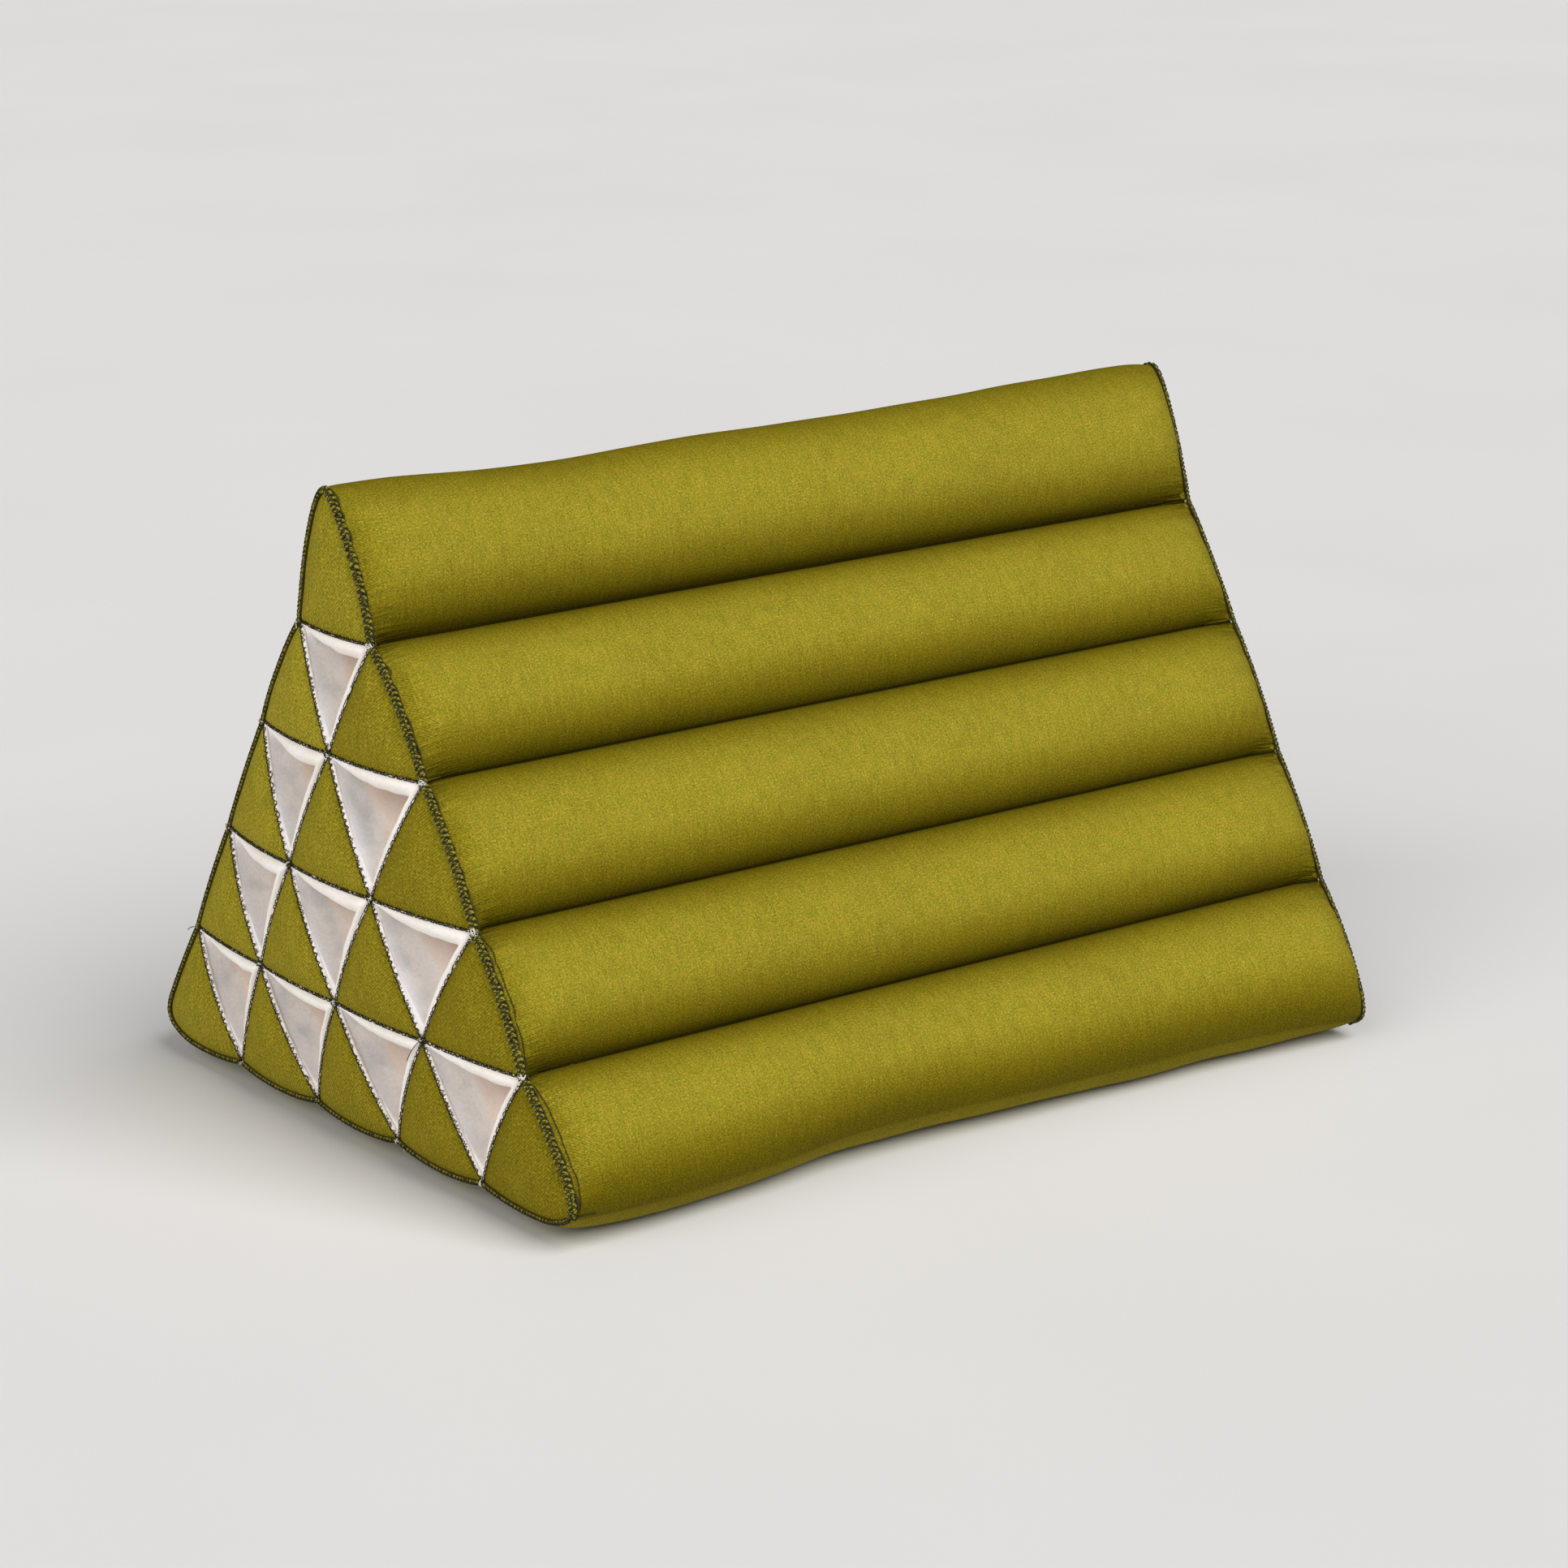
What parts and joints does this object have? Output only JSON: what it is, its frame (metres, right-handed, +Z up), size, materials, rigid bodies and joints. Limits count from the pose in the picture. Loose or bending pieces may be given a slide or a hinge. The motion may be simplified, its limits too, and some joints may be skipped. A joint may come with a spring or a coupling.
{
  "type": "thai triangle cushion",
  "caption": "Filled triangular floor cushion in green cotton, with sewn rolls along its long faces and white pockets between the green triangles of its ends.",
  "frame": {"origin": "on the floor, under the middle of the cushion's box", "axes": "+X along the rolls, -Y towards the long face that the picture shows, +Z up from the floor"},
  "size_m": [0.5088, 0.3484, 0.3073],
  "materials": {
    "green_cotton": "matt cotton twill",
    "white_cotton": "matt plain cotton"
  },
  "bodies": {
    "root": {"cushion_body": "green_cotton", "cap_left_1_1": "green_cotton", "cap_left_2_1": "green_cotton", "cap_left_2_2": "green_cotton", "cap_left_3_1": "green_cotton", "cap_left_3_2": "green_cotton", "cap_left_3_3": "green_cotton", "cap_left_4_1": "green_cotton", "cap_left_4_2": "green_cotton", "cap_left_4_3": "green_cotton", "cap_left_4_4": "green_cotton", "cap_left_5_1": "green_cotton", "cap_left_5_2": "green_cotton", "cap_left_5_3": "green_cotton", "cap_left_5_4": "green_cotton", "cap_left_5_5": "green_cotton", "cap_right_1_1": "green_cotton", "cap_right_2_1": "green_cotton", "cap_right_2_2": "green_cotton", "cap_right_3_1": "green_cotton", "cap_right_3_2": "green_cotton", "cap_right_3_3": "green_cotton", "cap_right_4_1": "green_cotton", "cap_right_4_2": "green_cotton", "cap_right_4_3": "green_cotton", "cap_right_4_4": "green_cotton", "cap_right_5_1": "green_cotton", "cap_right_5_2": "green_cotton", "cap_right_5_3": "green_cotton", "cap_right_5_4": "green_cotton", "cap_right_5_5": "green_cotton", "pocket_left_1_1": "white_cotton", "pocket_left_2_1": "white_cotton", "pocket_left_2_2": "white_cotton", "pocket_left_3_1": "white_cotton", "pocket_left_3_2": "white_cotton", "pocket_left_3_3": "white_cotton", "pocket_left_4_1": "white_cotton", "pocket_left_4_2": "white_cotton", "pocket_left_4_3": "white_cotton", "pocket_left_4_4": "white_cotton", "pocket_right_1_1": "white_cotton", "pocket_right_2_1": "white_cotton", "pocket_right_2_2": "white_cotton", "pocket_right_3_1": "white_cotton", "pocket_right_3_2": "white_cotton", "pocket_right_3_3": "white_cotton", "pocket_right_4_1": "white_cotton", "pocket_right_4_2": "white_cotton", "pocket_right_4_3": "white_cotton", "pocket_right_4_4": "white_cotton"}
  },
  "joints": []
}
